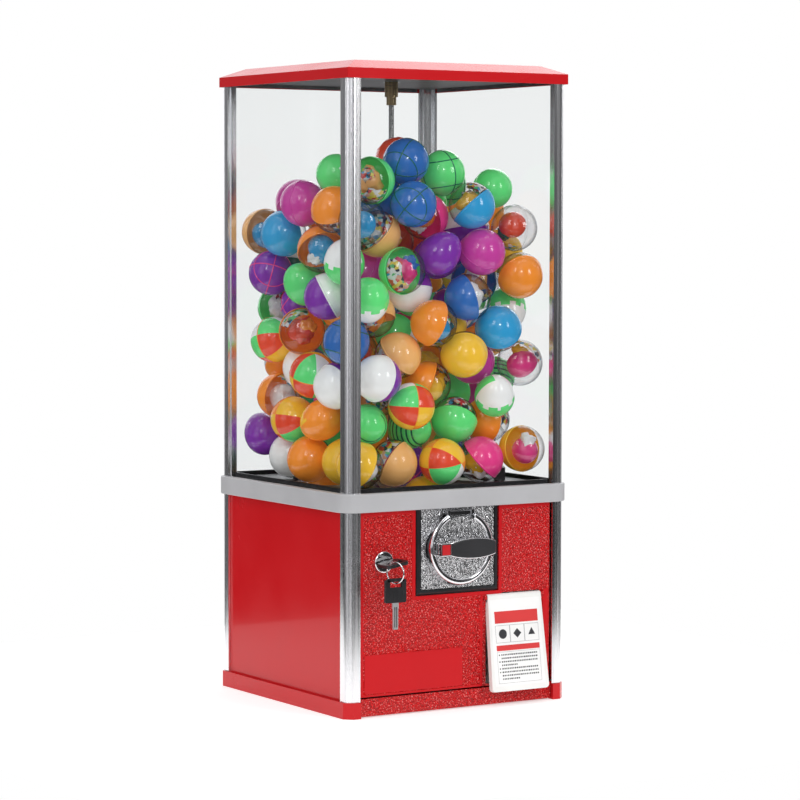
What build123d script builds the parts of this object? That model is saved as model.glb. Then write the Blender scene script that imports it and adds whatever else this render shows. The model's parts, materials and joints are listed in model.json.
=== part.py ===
from build123d import *
import math
import os
import numpy as np

# Capsule vending machine. Origin: centre of the base underside. +Z up, the front faces -Y, +X to the right.
# All sizes are millimetres.

# Driving dimensions
BASE_HALF = 130.0          # half width of the base tray
TRAY_HEIGHT = 16.0
TRAY_FLOOR = 3.0
TRAY_CHAMFER = 7.6
POST_HALF = 128.0          # outer faces of the corner posts
POST_LEG = 14.5            # size of a post along each face
POST_RADIUS = 8.0
POST_TOP = 626.0
PANEL_FACE = 125.5         # outer faces of the side panels and windows
PANEL_THICK = 1.5
WINDOW_THICK = 3.0
PANEL_EDGE = 117.5         # panels and windows end here, inside the slots of the posts
SLOT_OUTER = 125.7         # the slots of the posts lie between these two distances
SLOT_INNER = 122.2
SLOT_DEPTH = 4.5
LIP_CUT = 2.8              # the inner lips of the slots are this much shorter than the outer ones
COLLAR_HALF = 133.7
COLLAR_RADIUS = 20.0
COLLAR_LOW = 201.7
COLLAR_HIGH = 220.0
WINDOW_LOW = 212.0
LID_HALF = 129.2
LID_SHEET = 1.0
LID_RIM_LOW = 622.0
LID_RIM_HIGH = 632.0
LID_TOP = 640.5
LID_INSET = 20.0
ROD_RADIUS = 2.7
FIT = 0.05                 # radial clearance of a running fit

# Hopper and wheel
LEDGE_TOP = 220.0
WELL_RADIUS = 101.0
WELL_LOW = 171.0
WHEEL_RADIUS = 99.5
WHEEL_LOW = 180.7
WHEEL_TOP = 216.0
POCKETS = 6
POCKET_RING = 66.0
POCKET_RADIUS = 27.0
DROP_ANGLE = -30.0         # the drop hole lies to the front right
CROWN_RADIUS = 96.0
CROWN_PEGS = 48
PINION_TEETH = 8
TOOTH_WIDTH = 4.2

# Coin mechanism
AXIS_Z = 162.0
BEZEL_HALF = (48.0, 45.3)
PLATE_HALF = (43.5, 41.0)
RING_RADIUS = 37.0
SHAFT_RADIUS = 4.0

# Door, lock and flap
DOOR_HALF = 113.1
DOOR_FACE = -126.0
DOOR_THICK = 3.5
DOOR_LOW = 20.0
DOOR_HIGH = 201.2
HINGE = (109.6, -122.5)
LOCK = (-87.0, 152.0)
FLAP_MID = 66.6
FLAP_PIN = (-126.0, 109.0)
FLAP_TILT = 7.9            # the flap hangs open by this angle
FLAP_LENGTH = 97.5
CHUTE_LEFT = 34.6
CHUTE_RIGHT = 98.6
CHUTE_WALL = 1.6
KEY_TILT = -10.0
RING_MID = (-90.3, -154.7, 144.4)
RING_LINE = 10.3           # centre line radius of the key ring
RING_TURN = -70.0

# Capsules
CAPSULE_RADIUS = 24.0
PILE_PEAK = 580.0
PILE_SLOPE = 0.27
PILE_TOP = (0.0, -45.0)     # where the pile is highest
WARM_SHARE = 0.5
SEARCH = (                 # spread of the next guesses, and whether the capsule only rolls downhill
    (12.0, False), (6.0, False), (8.0, True), (8.0, True), (5.0, True), (3.0, True), (1.5, True), (0.7, True),
    (0.3, True), (0.1, True),
)


def block(x0, x1, y0, y1, z0, z1):
    """A box between two corners."""
    box = Box(x1 - x0, y1 - y0, z1 - z0)
    return Pos((x0 + x1) / 2, (y0 + y1) / 2, (z0 + z1) / 2) * box


def rod_z(x, y, z0, z1, radius):
    """An upright cylinder."""
    return Pos(x, y, (z0 + z1) / 2) * Cylinder(radius, z1 - z0)


def rod_y(x, z, y0, y1, radius):
    """A cylinder from front to back."""
    return Pos(x, (y0 + y1) / 2, z) * Rot(90, 0, 0) * Cylinder(radius, y1 - y0)


def rod_x(y, z, x0, x1, radius):
    """A cylinder from left to right."""
    return Pos((x0 + x1) / 2, y, z) * Rot(0, 90, 0) * Cylinder(radius, x1 - x0)


def plate_z(sketch, z0, z1):
    """A flat outline given thickness upwards."""
    return Pos(0, 0, z0) * extrude(sketch, z1 - z0)


def outline_xz(points, y0, y1):
    """A closed outline in the front plane, given thickness from y0 back to y1."""
    face = make_face(Polyline([(x, -z) for x, z in points], close=True))
    return Pos(0, y0, 0) * Rot(-90, 0, 0) * extrude(face, y1 - y0)


def outline_yz(points, x0, x1):
    """A closed outline in the side plane, given thickness from x0 to x1."""
    face = make_face(Polyline([(-z, y) for y, z in points], close=True))
    return Pos(x0, 0, 0) * Rot(0, 90, 0) * extrude(face, x1 - x0)


def corners(size_x, size_y):
    """The four corners of a rectangle about the Z axis."""
    return [(sx * size_x, sy * size_y) for sx in (-1, 1) for sy in (-1, 1)]


def hexagon(across, x, y, z0, z1):
    """A hexagonal nut body on an upright axis."""
    flat = RegularPolygon(across / math.sqrt(3), 6)
    return Pos(x, y, z0) * extrude(flat, z1 - z0)


def save(name, shape):
    """Write one node, as a compound of its separate solids."""
    solids = shape.solids()
    body = solids[0] if len(solids) == 1 else Compound(children=solids)
    export_step(body, "parts/" + name + ".step")


# ---------------------------------------------------------------- cabinet

def base_tray():
    size = 2 * BASE_HALF
    outline = chamfer(Rectangle(size, size).vertices(), TRAY_CHAMFER)
    inner = BASE_HALF - POST_LEG - 2
    tray = plate_z(outline, 0, TRAY_HEIGHT)
    tray -= block(-inner, inner, -BASE_HALF - 1, inner, TRAY_FLOOR, TRAY_HEIGHT + 1)
    tray -= block(-113.6, 113.6, -BASE_HALF - 1, -118, -1, TRAY_HEIGHT + 1)
    for x, y in corners(80, 80):
        tray -= rod_z(x, y, -1, TRAY_FLOOR + 1, 4.0)
    for x, y in corners(118.5, 118.5):
        tray -= rod_z(x, y, -1, TRAY_HEIGHT + 1, 2.1)
        tray -= rod_z(x, y, -1, 3.0, 4.2)
    return tray


def post():
    """One extrusion, drawn at the front left: rounded outside, slotted for the panels, three flutes."""
    outer = POST_HALF
    inner = POST_HALF - POST_LEG
    body = block(-outer, -inner, -outer, -inner, TRAY_HEIGHT, POST_TOP)
    edge = body.edges().filter_by(Axis.Z).sort_by(lambda e: e.center().X + e.center().Y)[0]
    body = fillet(edge, POST_RADIUS)
    slot = inner + SLOT_DEPTH
    body -= block(-slot, -inner + 1, -SLOT_OUTER, -SLOT_INNER, 0, POST_TOP + 1)
    body -= block(-SLOT_OUTER, -SLOT_INNER, -slot, -inner + 1, 0, POST_TOP + 1)
    lip = inner + LIP_CUT
    body -= block(-lip, -inner + 1, -SLOT_OUTER, -inner + 1, 0, POST_TOP + 1)
    body -= block(-SLOT_OUTER, -inner + 1, -lip, -inner + 1, 0, POST_TOP + 1)
    centre = POST_HALF - POST_RADIUS
    for angle in (205, 225, 245):
        x = -centre + (POST_RADIUS + 0.3) * math.cos(math.radians(angle))
        y = -centre + (POST_RADIUS + 0.3) * math.sin(math.radians(angle))
        body -= rod_z(x, y, 0, POST_TOP + 1, 0.9)
    body -= rod_z(-118.5, -118.5, 0, 40, 1.85)
    return body


def collar():
    size = 2 * COLLAR_HALF
    ring = plate_z(RectangleRounded(size, size, COLLAR_RADIUS), COLLAR_LOW, COLLAR_HIGH)
    ring = fillet(ring.faces().sort_by(Axis.Z)[-1].edges(), 1.2)
    ring = fillet(ring.faces().sort_by(Axis.Z)[0].edges(), 1.2)
    reach = PANEL_FACE + 0.2
    ring -= block(-reach, reach, -reach, reach, COLLAR_LOW - 1, COLLAR_HIGH + 1)
    room = POST_HALF + 0.15
    for sx, sy in corners(1, 1):
        edge = POST_HALF - POST_LEG - 0.15
        hole = block(edge, room, edge, room, COLLAR_LOW - 1, COLLAR_HIGH + 1)
        rim = hole.edges().filter_by(Axis.Z).sort_by(lambda e: e.center().X + e.center().Y)[-1]
        hole = fillet(rim, POST_RADIUS)
        ring -= Rot(0, 0, {(1, 1): 0, (-1, 1): 90, (-1, -1): 180, (1, -1): 270}[(sx, sy)]) * hole
    ring -= block(-49, 49, -128.4, -120, COLLAR_LOW - 1, 208)
    return ring


def side_panel(sign):
    lo, hi = sorted((sign * PANEL_FACE, sign * (PANEL_FACE - PANEL_THICK)))
    return block(lo, hi, -PANEL_EDGE, PANEL_EDGE, TRAY_HEIGHT, 210)


def back_panel():
    return block(-PANEL_EDGE, PANEL_EDGE, PANEL_FACE - PANEL_THICK, PANEL_FACE, TRAY_HEIGHT, 210)


def window_x(sign):
    lo, hi = sorted((sign * PANEL_FACE, sign * (PANEL_FACE - WINDOW_THICK)))
    return block(lo, hi, -PANEL_EDGE, PANEL_EDGE, WINDOW_LOW, POST_TOP)


def window_y(sign):
    lo, hi = sorted((sign * PANEL_FACE, sign * (PANEL_FACE - WINDOW_THICK)))
    return block(-PANEL_EDGE, PANEL_EDGE, lo, hi, WINDOW_LOW, POST_TOP)


def front_sill():
    wall = block(-DOOR_HALF, DOOR_HALF, DOOR_FACE, -122.5, 1, 18.3)
    foot = block(-DOOR_HALF, DOOR_HALF, -122.5, -100, TRAY_FLOOR, 5)
    sill = wall + foot
    for x in (-90, -30, 30, 90):
        sill -= rod_z(x, -108, 0, 10, 2.1)
    return sill


def post_screws():
    group = Part()
    for x, y in corners(118.5, 118.5):
        group += rod_z(x, y, 0.5, 3.0, 4.0) + rod_z(x, y, 3.0, 34, 1.8)
    return group


def mech_plate():
    """The steel plate behind the door, which carries the coin mechanism."""
    plate = block(-113.2, 113.2, -120.5, -119, 114, 211.5)
    plate -= rod_y(0, AXIS_Z, -125, -115, SHAFT_RADIUS + 2)
    plate -= rod_y(LOCK[0], LOCK[1], -125, -115, 14)
    plate -= block(LOCK[0] - 9, LOCK[0] + 9, -125, -115, LOCK[1] - 36, LOCK[1])
    plate -= block(105.5, 114, -125, -115, 113, 202)
    return plate


def hopper_brackets():
    group = Part()
    for x, y in corners(1, 1):
        arm = block(104, 113.2, 104, 113.2, 190, 215.8)
        arm -= block(103, 110.5, 103, 110.5, 189, 213)
        group += mirrored(arm, x, y)
    return group


def mirrored(shape, sx, sy):
    """Copy a shape drawn at +X +Y to another corner."""
    if sx < 0:
        shape = mirror(shape, Plane.YZ)
    if sy < 0:
        shape = mirror(shape, Plane.XZ)
    return shape


# ---------------------------------------------------------------- lid

def hipped(half, z0, z1, z2, inset):
    """A square box from z0 to z1 with a hipped top up to z2."""
    low = Pos(0, 0, z1) * Rectangle(2 * half, 2 * half)
    top = Pos(0, 0, z2) * Rectangle(2 * (half - inset), 2 * (half - inset))
    base = block(-half, half, -half, half, z0, z1)
    return base + loft([low.face(), top.face()])


def lid_shell():
    shell = hipped(LID_HALF, LID_RIM_LOW, LID_RIM_HIGH, LID_TOP, LID_INSET)
    inner = LID_HALF - LID_SHEET
    shell -= hipped(inner, LID_RIM_LOW - 5, LID_RIM_HIGH - 0.6, LID_TOP - LID_SHEET, LID_INSET)
    shell -= rod_z(0, 0, 600, 660, 9.1)
    return shell


def lid_liner():
    sheet = block(-127.9, 127.9, -127.9, 127.9, POST_TOP + 0.3, POST_TOP + 1.3)
    for x, y in corners(62, 62):
        sheet += block(x - 40, x + 40, y - 40, y + 40, POST_TOP + 1.3, POST_TOP + 2.3)
    for quarter in range(4):
        lip = block(-111, 111, 126.3, 127.3, LID_RIM_LOW + 0.8, POST_TOP + 0.5)
        sheet += Rot(0, 0, 90 * quarter) * lip
    sheet -= rod_z(0, 0, 600, 660, 9.1)
    return sheet


def lid_lock_body():
    body = rod_z(0, 0, 610.8, LID_TOP - 1, 6.85)
    body += rod_z(0, 0, 602.5, 610.8, 5.1)
    body -= rod_z(0, 0, 600, 616, ROD_RADIUS + FIT)
    return body


def lid_lock_bezel():
    ring = rod_z(0, 0, 626, LID_TOP, 9.0)
    return ring - rod_z(0, 0, 620, 650, 6.95)


def lid_lock_plug():
    plug = rod_z(0, 0, LID_TOP - 1, LID_TOP - 0.1, 5.0)
    plug -= block(-3, 3, -0.6, 0.6, LID_TOP - 0.8, LID_TOP)
    return plug


def centre_rod():
    return rod_z(0, 0, TRAY_FLOOR, 612, ROD_RADIUS)


def rod_anchor():
    boss = rod_z(0, 0, TRAY_FLOOR, 6, 16) + rod_z(0, 0, 6, 22, 8)
    return boss - rod_z(0, 0, 0, 30, ROD_RADIUS + FIT)


# ---------------------------------------------------------------- hopper and wheel

def polar(radius, degrees):
    return (radius * math.cos(math.radians(degrees)), radius * math.sin(math.radians(degrees)))


def hopper_floor():
    """Square moulding with a round well for the wheel, a groove for the crown gear and the drop hole."""
    half = 121.5
    flange = block(-half, half, -half, half, 216, LEDGE_TOP)
    flange += block(-half, half, -half, half, LEDGE_TOP, 224) - block(-119, 119, -119, 119, 219, 225)
    for x, y in corners(120, 120):
        flange -= block(x - 6.8, x + 6.8, y - 6.8, y + 6.8, 210, 230)
    well = rod_z(0, 0, WELL_LOW, 216, WELL_RADIUS + 2.5)
    shape = flange + well
    shape -= rod_z(0, 0, WHEEL_LOW - 0.3, 230, WELL_RADIUS)
    shape -= rod_z(0, 0, WELL_LOW + 2.5, 230, WELL_RADIUS) - rod_z(0, 0, 170, 230, 90)
    shape -= rod_z(0, 0, WELL_LOW - 1, WHEEL_LOW - 2.8, 87.5)
    shape -= rod_z(0, 0, 160, 190, ROD_RADIUS + 0.3)
    x, y = polar(POCKET_RING, DROP_ANGLE)
    shape -= rod_z(x, y, 160, 200, POCKET_RADIUS + 0.5)
    shape -= block(-18, 18, -101, -89, 165, 182)
    return shape


def dispensing_wheel():
    """The turntable with its pockets, and the crown gear's pegs below its rim."""
    wheel = rod_z(0, 0, WHEEL_LOW, WHEEL_TOP, WHEEL_RADIUS)
    for k in range(POCKETS):
        x, y = polar(POCKET_RING, DROP_ANGLE + 360 * k / POCKETS)
        wheel -= rod_z(x, y, WHEEL_LOW - 1, WHEEL_TOP + 1, POCKET_RADIUS)
    wheel -= rod_z(0, 0, WHEEL_LOW - 1, WHEEL_TOP + 1, 7 + FIT)
    peg = block(CROWN_RADIUS - 3, CROWN_RADIUS + 3, -TOOTH_WIDTH / 2, TOOTH_WIDTH / 2, 176, WHEEL_LOW + 0.5)
    step = 360 / CROWN_PEGS
    pegs = [Rot(0, 0, -90 + step * (k + 0.5)) * peg for k in range(CROWN_PEGS)]
    return wheel + pegs


def wheel_bush():
    bush = rod_z(0, 0, WHEEL_LOW - 0.3, WHEEL_TOP + 0.6, 7) + rod_z(0, 0, WHEEL_TOP + 0.6, WHEEL_TOP + 2, 11)
    return bush - rod_z(0, 0, 160, 230, ROD_RADIUS + FIT)


def rod_nut():
    nut = hexagon(9, 0, 0, WHEEL_TOP + 2, WHEEL_TOP + 7)
    return nut - rod_z(0, 0, 200, 240, ROD_RADIUS + FIT)


def capsule_guard():
    """The fixed cover over the drop hole, on an arm from the hopper's ledge."""
    x, y = polar(POCKET_RING, DROP_ANGLE)
    plate = rod_z(x, y, 229.6, 232.6, 31)
    arm = block(POCKET_RING, 117, -12, 12, 229.6, 232.6) + block(106, 117, -12, 12, LEDGE_TOP, 229.6)
    arm -= rod_z(111.5, 6, 210, 240, 1.6)
    arm -= rod_z(111.5, -6, 210, 240, 1.6)
    return plate + Rot(0, 0, DROP_ANGLE) * arm


def panel_screws():
    """The pan-head screws that hold the sill, the mechanism and the guard."""
    group = Part()
    for x in (-90, -30, 30, 90):
        group += rod_z(x, -108, 5.0, 7.0, 3.6)
    for x, z in corners(44, 38.5):
        group += rod_y(x, AXIS_Z + z, -119, -116.4, 3.4)
    for side in (-6, 6):
        turn = DROP_ANGLE + math.degrees(math.atan2(side, 111.5))
        x, y = polar(math.hypot(111.5, side), turn)
        group += rod_z(x, y, LEDGE_TOP + 0.1, 232.6, 1.5) + rod_z(x, y, 232.6, 234.4, 2.8)
    return group


def chute():
    """A shaft below the drop hole that slopes down to the outlet."""
    outer = [(-1, 170.5), (-1, 52), (-120.2, 19.5), (-120.2, 112.5), (-66, 170.5)]
    inner = [(-2.6, 171), (-2.6, 54), (-121, 21.8), (-121, 110.5), (-64.5, 171)]
    shell = outline_yz(outer, CHUTE_LEFT - CHUTE_WALL, CHUTE_RIGHT + CHUTE_WALL)
    return shell - outline_yz(inner, CHUTE_LEFT, CHUTE_RIGHT)


def coin_box():
    box = block(-108, 26, -97, -18, TRAY_FLOOR, 62)
    box = fillet(box.edges().filter_by(Axis.Z), 5)
    return box - block(-106.2, 24.2, -95.2, -19.8, TRAY_FLOOR + 1.8, 63)


# ---------------------------------------------------------------- coin mechanism

def bezel():
    w, h = BEZEL_HALF
    frame = block(-w, w, -127.6, -120.5, AXIS_Z - h, AXIS_Z + h)
    frame = chamfer(frame.faces().sort_by(Axis.Y)[0].edges(), 1.8)
    pw, ph = PLATE_HALF
    return frame - block(-pw, pw, -130, -115, AXIS_Z - ph, AXIS_Z + ph)


def faceplate():
    """The chromed plate, with its raised ring open at the top and the coin slot between its ends."""
    w, h = (PLATE_HALF[0] - 0.2, PLATE_HALF[1] - 0.2)
    plate = block(-w, w, -126.6, -120.5, AXIS_Z - h, AXIS_Z + h)
    ring = rod_y(0, AXIS_Z, -135.6, -126.6, RING_RADIUS)
    ring = fillet(ring.faces().sort_by(Axis.Y)[0].edges(), 1.5)
    ring -= rod_y(0, AXIS_Z, -137, -126, 31.5)
    ring -= block(-15.5, 15.5, -137, -126.6, AXIS_Z + 20, AXIS_Z + 45)
    ledge = block(-15.5, 15.5, -131, -126.6, AXIS_Z + 32.2, AXIS_Z + 36)
    shape = plate + ring + ledge
    shape -= rod_y(0, AXIS_Z, -127, -123.6, 31.5)
    shape -= block(-13.5, 13.5, -130, -127.4, AXIS_Z + 30, AXIS_Z + 40)
    return shape - rod_y(0, AXIS_Z, -140, -110, SHAFT_RADIUS + FIT)


def knob_disc():
    disc = rod_y(0, AXIS_Z, -134.4, -131.2, 31.1)
    return disc - rod_y(0, AXIS_Z, -140, -130, SHAFT_RADIUS)


def coin_carrier():
    """The wheel behind the knob, with a notch that takes one coin."""
    disc = rod_y(0, AXIS_Z, -130.8, -124.2, 31.0)
    disc -= rod_y(0, AXIS_Z + 20, -130.9, -128.6, 13.2)
    disc -= block(-13.2, 13.2, -130.9, -128.6, AXIS_Z + 20, AXIS_Z + 33)
    return disc - rod_y(0, AXIS_Z, -140, -120, SHAFT_RADIUS)


def lens_bar(left, right, mid, end_half, mid_half, y0, y1, z=AXIS_Z):
    """A bar whose long edges bulge between its ends."""
    top = ThreePointArc((left, -z - end_half), (mid, -z - mid_half), (right, -z - end_half))
    low = ThreePointArc((left, -z + end_half), (mid, -z + mid_half), (right, -z + end_half))
    left_end = Line((left, -z - end_half), (left, -z + end_half))
    right_end = Line((right, -z - end_half), (right, -z + end_half))
    face = make_face([top, low, left_end, right_end])
    return Pos(0, y0, 0) * Rot(-90, 0, 0) * extrude(face, y1 - y0)


def knob_handle():
    bar = lens_bar(-21, 32, 7, 6.2, 10.2, -147.4, -136.2)
    bar += block(-32, -20, -146.6, -136.2, AXIS_Z - 6.4, AXIS_Z + 6.4)
    bar += rod_y(0, AXIS_Z, -136.2, -134.4, 9)
    bar -= lens_bar(-19.5, 30.6, 7, 4.9, 8.9, -148, -146.2)
    bar -= block(-30.6, -21.6, -148, -145.6, AXIS_Z - 5, AXIS_Z + 5)
    return bar - rod_y(0, AXIS_Z, -140, -130, SHAFT_RADIUS)


def handle_grip():
    return lens_bar(-19.3, 30.4, 7, 4.7, 8.7, -147.9, -146.2)


def handle_marker():
    return block(-30.4, -21.8, -147.0, -145.6, AXIS_Z - 4.8, AXIS_Z + 4.8)


def drive_shaft():
    return rod_y(0, AXIS_Z, -140, -88, SHAFT_RADIUS)


def mech_housing():
    box = block(-30, 30, -119, -104.5, 124, 204)
    box -= block(-28, 28, -118.9, -106.5, 126, 202)
    box -= block(-15, 15, -118.9, -106.5, 120, 130)
    return box - rod_y(0, AXIS_Z, -125, -100, SHAFT_RADIUS + FIT)


def ratchet_wheel():
    points = []
    for k in range(24):
        points.append(polar(14.0, 15 * k))
        points.append(polar(12.0, 15 * k + 13))
    shape = outline_xz([(x, z + AXIS_Z) for x, z in points], -114, -110)
    return shape - rod_y(0, AXIS_Z, -120, -100, SHAFT_RADIUS)


def pawl():
    arm = outline_xz([(-2.4, 178.6), (2.4, 178.6), (2.4, 193), (-2.4, 193)], -114, -110)
    return arm + rod_y(0, 193, -118.9, -106.5, 2.5)


def pawl_spring():
    coil = rod_x(-112, 184, 2.6, 27.9, 2.6)
    return coil - rod_x(-112, 184, 2, 29, 1.8)


def drive_pinion():
    hub = rod_y(0, AXIS_Z, -99.5, -92.5, 13.2)
    tooth = block(-TOOTH_WIDTH / 2, TOOTH_WIDTH / 2, -99.5, -92.5, 12, 17.6)
    for k in range(PINION_TEETH):
        hub += Pos(0, 0, AXIS_Z) * Rot(0, 360 * k / PINION_TEETH, 0) * tooth
    return hub - rod_y(0, AXIS_Z, -110, -80, SHAFT_RADIUS)


# ---------------------------------------------------------------- door, lock and keys

def front_door():
    """Moulded front with a raised border, a rounded hinge edge, and cut-outs for mechanism and outlet."""
    back = DOOR_FACE + DOOR_THICK
    panel = block(-DOOR_HALF, HINGE[0], DOOR_FACE, back, DOOR_LOW, DOOR_HIGH)
    panel += block(-DOOR_HALF, -DOOR_HALF + 3, back, -121.2, DOOR_LOW, DOOR_HIGH)
    panel += rod_z(HINGE[0], HINGE[1], DOOR_LOW, DOOR_HIGH, 3.5)
    panel -= block(-49.2, 49.2, -130, -115, AXIS_Z - BEZEL_HALF[1] - 1.2, DOOR_HIGH + 1)
    panel -= block(34.0, 99.2, -130, -115, DOOR_LOW + 2, 113)
    for x0, x1 in ((30.9, 33.9), (99.3, 102.3)):
        panel += rod_x(FLAP_PIN[0], FLAP_PIN[1], x0, x1, 3)
    panel -= rod_x(FLAP_PIN[0], FLAP_PIN[1], 31.2, 102, 1.5 + FIT)
    panel -= rod_y(LOCK[0], LOCK[1], -130, -115, 8.6)
    for z0, z1 in ((DOOR_LOW - 1, 26), (DOOR_HIGH - 6, DOOR_HIGH + 1)):
        panel -= rod_z(HINGE[0], HINGE[1], z0, z1, 1.5 + FIT)
    return panel


def door_hinge_pins():
    group = rod_z(HINGE[0], HINGE[1], 18.3, 25.6, 1.5)
    return group + rod_z(HINGE[0], HINGE[1], 195.6, 208, 1.5) + block(104, 113.2, -125.4, -120.5, 202, 208)


def nameplate():
    plate = block(-108, 6, -126.5, -126, 23, 61)
    return fillet(plate.edges().filter_by(Axis.Y), 1.5)


def lock_barrel():
    barrel = rod_y(LOCK[0], LOCK[1], -126, -110, 8.5) + rod_y(LOCK[0], LOCK[1], -129.6, -126, 10.7)
    barrel = fillet(barrel.faces().sort_by(Axis.Y)[0].edges(), 1.4)
    return barrel - rod_y(LOCK[0], LOCK[1], -131, -105, 6)


def lock_nut():
    nut = hexagon(21, 0, 0, 0, 3) - rod_z(0, 0, -1, 4, 8.5)
    return Pos(LOCK[0], -122.5, LOCK[1]) * Rot(-90, 0, 0) * nut


def lock_plug():
    plug = rod_y(LOCK[0], LOCK[1], -128.8, -108, 6 - FIT)
    return plug - key_blade(0.0)


def key_tilted(shape):
    """The inserted key lies near level, turned a little about the lock's axis."""
    return Pos(LOCK[0], 0, LOCK[1]) * Rot(0, KEY_TILT, 0) * shape


def key_blade(fit):
    blade = block(-3.4 - fit, 3.4 + fit, -135, -113, -0.9 - fit, 0.9 + fit)
    return key_tilted(blade)


def key_bow():
    bow = block(-11.8, 11.8, -157, -133, -1.7, 1.7)
    bow = fillet(bow.edges().filter_by(Axis.Z), 4)
    bow -= block(-8, 8, -153.2, -144.6, -3, 3)
    return key_tilted(bow) - key_blade(0.0)


def lock_cam():
    """The lever behind the lock, down when unlocked."""
    lever = block(LOCK[0] - 5, LOCK[0] + 5, -108, -106.2, LOCK[1] - 30, LOCK[1])
    lever += rod_y(LOCK[0], LOCK[1], -108, -106.2, 6.5)
    return lever


def cam_screw():
    return rod_y(LOCK[0], LOCK[1], -106.2, -103.6, 3.4)


def key_ring():
    ring = Rot(90, 0, 0) * Torus(RING_LINE, 0.7)
    return Pos(*RING_MID) * Rot(0, 0, RING_TURN) * ring


def spare_bow():
    x, y, z = (RING_MID[0], RING_MID[1], RING_MID[2] - RING_LINE)
    bow = block(x - 11.8, x + 11.8, y - 1.7, y + 1.7, z - 19, z + 5)
    bow = fillet(bow.edges().filter_by(Axis.Y), 3.5)
    bow -= block(x - 6.5, x + 6.5, y - 3, y + 3, z - 3, z + 1.4)
    return bow - spare_blade()


def spare_blade():
    x, y, z = (RING_MID[0], RING_MID[1], RING_MID[2] - RING_LINE)
    blade = block(x - 3.4, x + 3.4, y - 0.9, y + 0.9, z - 45, z - 15)
    return fillet(blade.edges().filter_by(Axis.Y).sort_by(Axis.Z)[:2], 2)


def flap_turned(shape):
    """Move a shape from the pin's frame to the flap's place, leaning out at the bottom."""
    return Pos(FLAP_MID, FLAP_PIN[0], FLAP_PIN[1]) * Rot(-FLAP_TILT, 0, 0) * shape


def outlet_flap():
    low = -FLAP_LENGTH + 2.5
    corners_out = [(-32, 0), (32, 0), (34.3, low), (-34.3, low)]
    plate = outline_xz(corners_out, -3.0, -1.0)
    rim = outline_xz(corners_out, -1.0, 2.6)
    rim -= outline_xz([(-29, 5), (29, 5), (32, low + 2), (-32, low + 2)], -1.0, 3)
    rim -= block(-40, 40, -2, 5, -5, 5)
    shape = plate + rim
    shape = fillet(shape.edges().filter_by(Axis.Y).sort_by(Axis.Z)[:2], 4)
    shape += rod_x(0, 0, -32, 32, 3.0)
    shape -= rod_x(0, 0, -33, 33, 1.5 + FIT)
    return flap_turned(shape)


def flap_label():
    return flap_turned(block(-30, 30, -3.2, -3.0, -FLAP_LENGTH + 8, -3))


def flap_pin():
    return rod_x(FLAP_PIN[0], FLAP_PIN[1], FLAP_MID - 35, FLAP_MID + 35, 1.5)


# ---------------------------------------------------------------- capsules

def pocket_capsules():
    """One capsule in each pocket of the wheel, except the pocket over the drop hole."""
    group = []
    for k in range(1, POCKETS):
        x, y = polar(POCKET_RING, DROP_ANGLE + 360 * k / POCKETS)
        group.append(Pos(x, y, WHEEL_LOW + CAPSULE_RADIUS) * Sphere(CAPSULE_RADIUS))
    return Part() + group


def allowed(x, y):
    """Where a capsule's centre may be: inside the windows, off the posts and off the rod."""
    reach = PANEL_FACE - WINDOW_THICK - CAPSULE_RADIUS - 0.4
    inside = (np.abs(x) <= reach) & (np.abs(y) <= reach)
    post_gap = POST_HALF - POST_LEG
    post = np.hypot(post_gap - np.abs(x), post_gap - np.abs(y)) >= CAPSULE_RADIUS + 0.4
    return inside & post & (np.hypot(x, y) >= CAPSULE_RADIUS + ROD_RADIUS + 0.4)


def resting_height(x, y, pile):
    """How high a capsule dropped at x, y comes to rest on the wheel, the guard and the capsules below it."""
    radius = CAPSULE_RADIUS + 0.3
    centre = np.hypot(x, y)
    height = np.where(centre <= 77, WHEEL_TOP, LEDGE_TOP) + radius
    gap = np.abs(centre - POCKET_RING)
    near = np.sqrt(np.maximum((2 * radius) ** 2 - gap ** 2, 0))
    height = np.maximum(height, np.where(gap < 2 * radius, WHEEL_LOW + CAPSULE_RADIUS + near, 0))
    gx, gy = polar(POCKET_RING, DROP_ANGLE)
    gap = np.maximum(np.hypot(x - gx, y - gy) - 33, 0)
    guard = 232.6 + 2.2 + np.sqrt(np.maximum(radius ** 2 - gap ** 2, 0))
    height = np.maximum(height, np.where(gap < radius, guard, 0))
    ax, ay = polar(108, DROP_ANGLE)
    gap = np.maximum(np.hypot(x - ax, y - ay) - 17, 0)
    arm = 232.6 + 2.2 + np.sqrt(np.maximum(radius ** 2 - gap ** 2, 0))
    height = np.maximum(height, np.where(gap < radius, arm, 0))
    spacing = 2 * CAPSULE_RADIUS + 0.2
    for px, py, pz in pile:
        gap2 = (x - px) ** 2 + (y - py) ** 2
        rise = np.sqrt(np.maximum(spacing ** 2 - gap2, 0))
        height = np.maximum(height, np.where(gap2 < spacing ** 2, pz + rise, 0))
    return height


def surface(x, y):
    """The shape of the pile's top: highest near the front, falling towards the back left."""
    return PILE_PEAK - PILE_SLOPE * np.hypot(x - PILE_TOP[0], y - PILE_TOP[1])


def settled_pile():
    """Drop capsules one at a time below the pile's surface, each rolling down to where it rests."""
    random = np.random.default_rng(7)
    reach = PANEL_FACE - WINDOW_THICK - CAPSULE_RADIUS - 0.4
    pile = []
    while True:
        x = random.uniform(-reach, reach, 700)
        y = random.uniform(-reach, reach, 700)
        for step, rolling in SEARCH:
            keep = allowed(x, y)
            x, y = x[keep], y[keep]
            z = resting_height(x, y, pile)
            best = np.argmin(z if rolling else z - surface(x, y))
            found = (float(x[best]), float(y[best]), float(z[best]))
            x = np.clip(found[0] + random.normal(0, step, 150), -reach, reach)
            y = np.clip(found[1] + random.normal(0, step, 150), -reach, reach)
            x[0], y[0] = found[0], found[1]
        if found[2] + CAPSULE_RADIUS > surface(found[0], found[1]):
            break
        pile.append(found)
    return pile


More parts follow.
